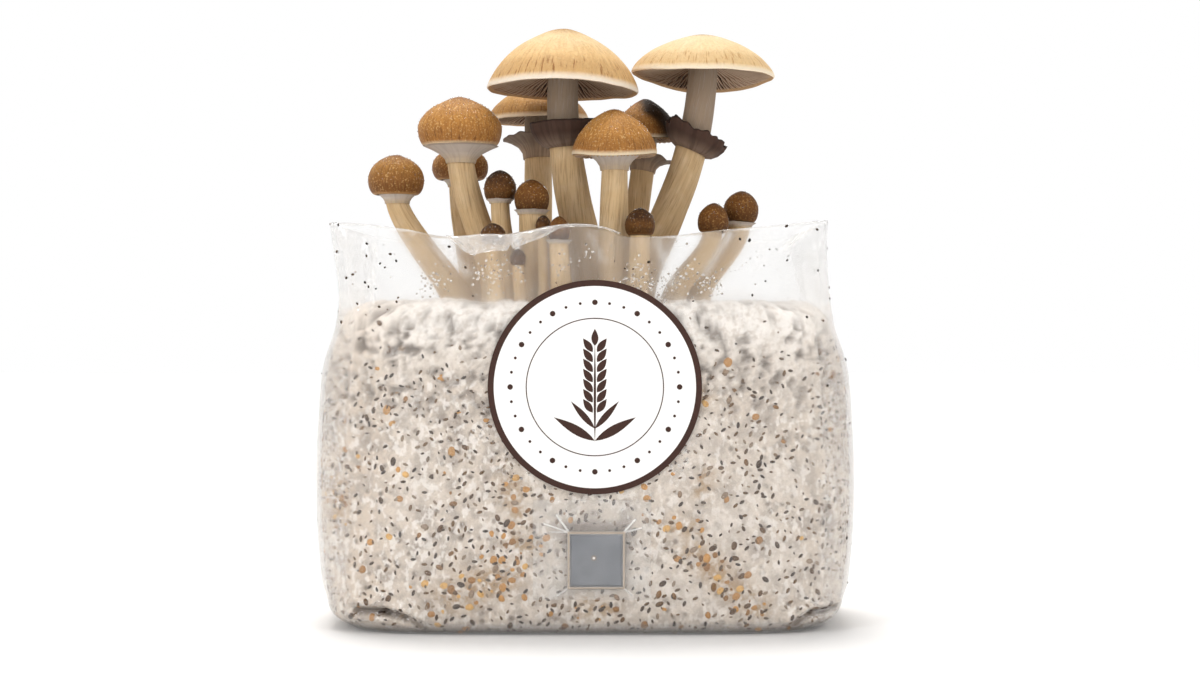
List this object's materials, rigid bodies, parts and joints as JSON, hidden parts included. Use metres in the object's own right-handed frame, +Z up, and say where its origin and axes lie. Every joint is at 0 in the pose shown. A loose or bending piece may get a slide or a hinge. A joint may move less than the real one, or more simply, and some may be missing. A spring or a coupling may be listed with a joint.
{
  "type": "mushroom grow bag",
  "caption": "Clear gusseted bag of white mycelium and grain, cut open on top, with tan-capped, ringed mushrooms growing out; a round label and a square injection port in front.",
  "frame": {"origin": "centre of the whole object's footprint, on the surface that the bag stands on", "axes": "+Z up; -Y out of the front, where the label and the port are; +X to the right seen from the front"},
  "size_m": [0.234, 0.1324, 0.258],
  "materials": {
    "film": "gloss",
    "block": "matte",
    "label": "satin",
    "port": "satin",
    "patch": "gloss",
    "stem": "matte",
    "cap": "satin",
    "ring": "matte"
  },
  "bodies": {
    "root": {"bag_film": "film", "substrate_block": "block", "label": "label", "injection_port": "port", "port_patch": "patch", "stem_01": "stem", "stem_02": "stem", "stem_03": "stem", "stem_04": "stem", "stem_05": "stem", "stem_06": "stem", "stem_07": "stem", "stem_08": "stem", "stem_09": "stem", "stem_10": "stem", "stem_11": "stem", "stem_12": "stem", "stem_13": "stem", "stem_14": "stem", "stem_15": "stem", "stem_16": "stem", "stem_17": "stem", "cap_01": "cap", "cap_02": "cap", "cap_03": "cap", "cap_04": "cap", "cap_05": "cap", "cap_06": "cap", "cap_07": "cap", "cap_08": "cap", "cap_09": "cap", "cap_10": "cap", "cap_11": "cap", "cap_12": "cap", "cap_13": "cap", "cap_14": "cap", "cap_15": "cap", "cap_16": "cap", "cap_17": "cap", "ring_01": "ring", "ring_02": "ring", "ring_03": "ring", "ring_04": "ring", "ring_05": "ring", "ring_06": "ring", "ring_07": "ring", "ring_08": "ring", "ring_09": "ring", "ring_10": "ring", "ring_13": "ring", "ring_16": "ring"}
  },
  "joints": []
}
